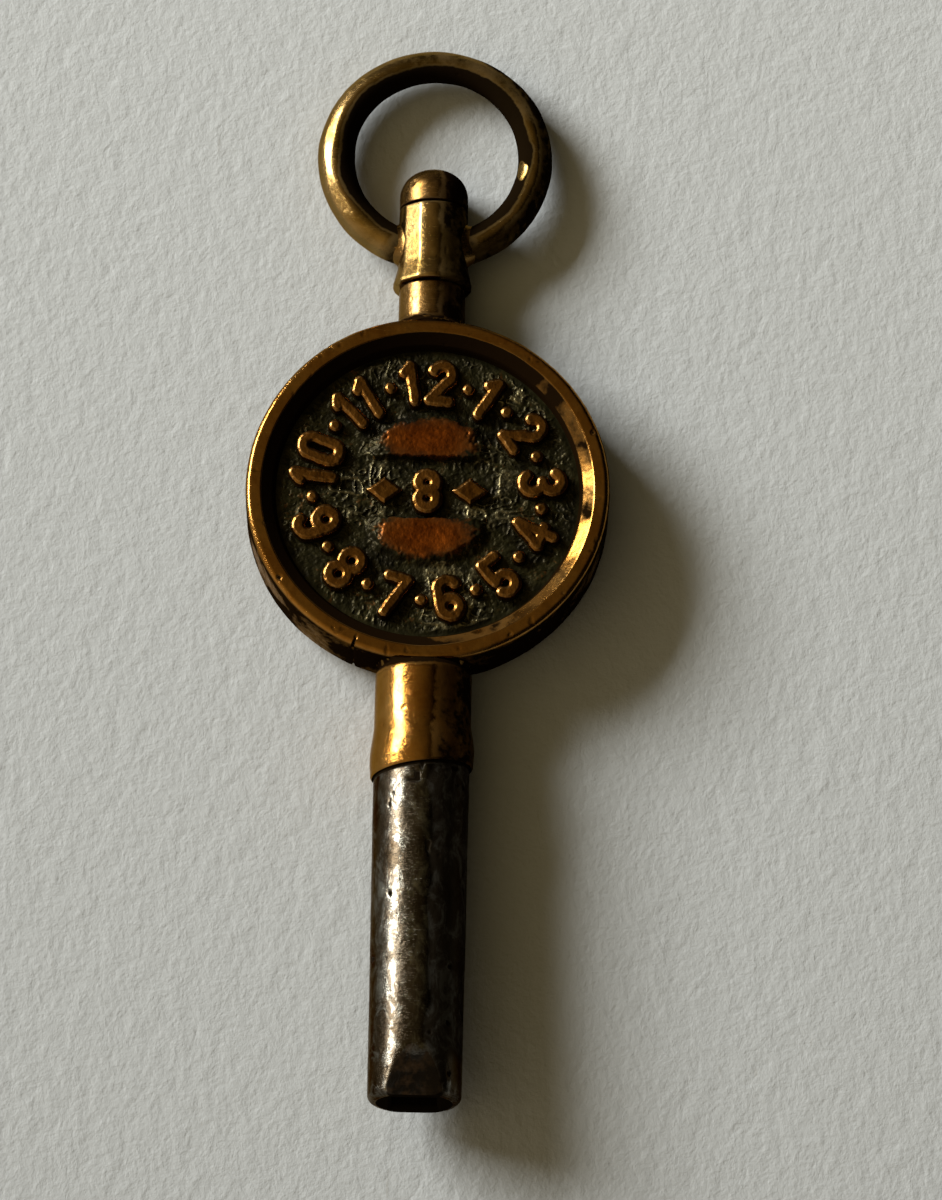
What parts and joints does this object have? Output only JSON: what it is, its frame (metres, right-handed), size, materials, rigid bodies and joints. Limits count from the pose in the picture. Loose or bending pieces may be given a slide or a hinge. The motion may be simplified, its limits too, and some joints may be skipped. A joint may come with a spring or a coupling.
{
  "type": "watch key",
  "caption": "Pocket-watch winding key: steel pipe with a square socket, brass ferrule, round disc with raised plain numbers, and a ring bow on a swivel.",
  "frame": {"origin": "middle of the square socket's mouth, on the key's long axis", "axes": "+Y along the key from the socket to the bow, +Z out of the numbered front, +X to the right seen from the front"},
  "size_m": [0.012, 0.0366, 0.0034],
  "materials": {
    "aged_steel": "dark, pitted and worn bright in places",
    "red_brass": "brown-orange, aged, polished by handling",
    "patinated_brass": "brown on the raised parts, rough and dark green-black in the hollows",
    "yellow_brass": "golden-olive, aged, polished by handling",
    "solder": "brown, slightly lumpy"
  },
  "bodies": {
    "key": {"pipe": "aged_steel", "ferrule": "red_brass", "ferrule_solder": "solder", "rim": "red_brass", "core": "red_brass", "front_plate": "patinated_brass", "back_plate": "patinated_brass", "neck": "red_brass", "neck_solder": "solder", "pivot_pin": "red_brass"},
    "bow": {"swivel_sleeve": "yellow_brass", "bow_wire": "yellow_brass", "bow_solder": "solder"}
  },
  "joints": [
    {"name": "bow_swivel", "type": "hinge", "parent": "key", "child": "bow", "pos_m": [0, 0.0293, 0], "axis": [0, 1, 0], "continuous": true}
  ]
}
